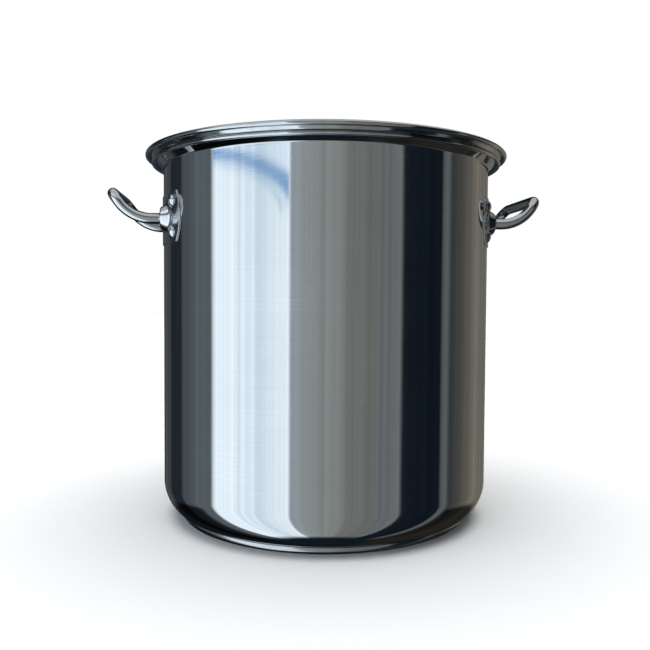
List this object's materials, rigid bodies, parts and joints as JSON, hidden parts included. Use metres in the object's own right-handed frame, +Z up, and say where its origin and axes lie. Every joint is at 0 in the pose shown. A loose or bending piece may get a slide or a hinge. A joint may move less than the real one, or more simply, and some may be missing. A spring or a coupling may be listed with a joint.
{
  "type": "brew kettle",
  "caption": "Tall cylindrical stainless steel brew kettle with a capsule base, riveted side loop handles and a recessed lift-off lid.",
  "frame": {"origin": "centre of the flat face that the kettle stands on", "axes": "+Z up along the pot's axis, +X towards the right handle, +Y towards the back"},
  "size_m": [0.4304, 0.3652, 0.3955],
  "materials": {
    "polished_steel": "mirror-polished stainless steel with faint polishing lines round the wall",
    "plate_steel": "polished pressed stainless sheet",
    "rod_steel": "polished stainless rod",
    "rivet_steel": "satin domed rivet heads",
    "base_steel": "brushed stainless capsule cover",
    "core_aluminium": "plain disc, sealed in the capsule"
  },
  "bodies": {
    "kettle": {"kettle_shell": "polished_steel", "base_core": "core_aluminium", "base_cap": "base_steel", "left_handle_rod": "rod_steel", "left_handle_plate": "plate_steel", "left_rivet_1": "rivet_steel", "left_rivet_2": "rivet_steel", "left_rivet_3": "rivet_steel", "left_rivet_4": "rivet_steel", "right_handle_rod": "rod_steel", "right_handle_plate": "plate_steel", "right_rivet_1": "rivet_steel", "right_rivet_2": "rivet_steel", "right_rivet_3": "rivet_steel", "right_rivet_4": "rivet_steel"},
    "lid": {"lid_pan": "polished_steel", "lid_handle_rod": "rod_steel", "lid_handle_plate": "plate_steel", "lid_rivet_1": "rivet_steel", "lid_rivet_2": "rivet_steel", "lid_rivet_3": "rivet_steel", "lid_rivet_4": "rivet_steel"}
  },
  "joints": [
    {"name": "lid_lift", "type": "slide", "parent": "kettle", "child": "lid", "axis": [0, 0, 1], "range_m": [0, 0.2]}
  ]
}
